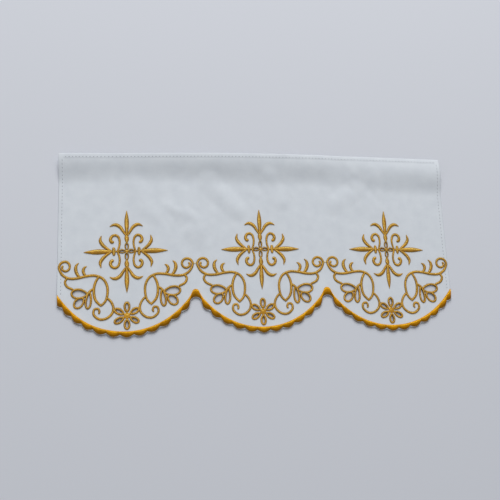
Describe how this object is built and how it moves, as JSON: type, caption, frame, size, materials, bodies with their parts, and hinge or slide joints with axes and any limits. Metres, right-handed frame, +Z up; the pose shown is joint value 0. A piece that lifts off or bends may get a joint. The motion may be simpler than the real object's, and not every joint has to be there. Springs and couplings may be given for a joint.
{
  "type": "altar cloth",
  "caption": "White altar cloth lying flat, with a scalloped gold edging, gold-thread crosses, scrolls and flowers, and small cut-out petals.",
  "frame": {"origin": "on the resting surface, under the middle of the cloth's length and depth", "axes": "+X along the scalloped edge to the right, +Y from the scallops to the plain edge, +Z up out of the embroidered face"},
  "size_m": [0.598, 0.2798, 0.0105],
  "materials": {
    "white_cloth": "matt plain-woven cloth",
    "gold_thread": "satin-stitched thread with a soft sheen",
    "pale_thread": "satin-stitched thread, pale yellow"
  },
  "bodies": {
    "root": {"cloth_panel": "white_cloth", "scalloped_edging": "gold_thread", "cross_1": "gold_thread", "flower_1": "gold_thread", "scroll_left_1": "gold_thread", "scroll_right_1": "gold_thread", "cross_2": "gold_thread", "flower_2": "gold_thread", "scroll_left_2": "gold_thread", "scroll_right_2": "gold_thread", "cross_3": "gold_thread", "flower_3": "gold_thread", "scroll_left_3": "gold_thread", "scroll_right_3": "gold_thread", "link_1": "pale_thread", "link_2": "pale_thread"}
  },
  "joints": []
}
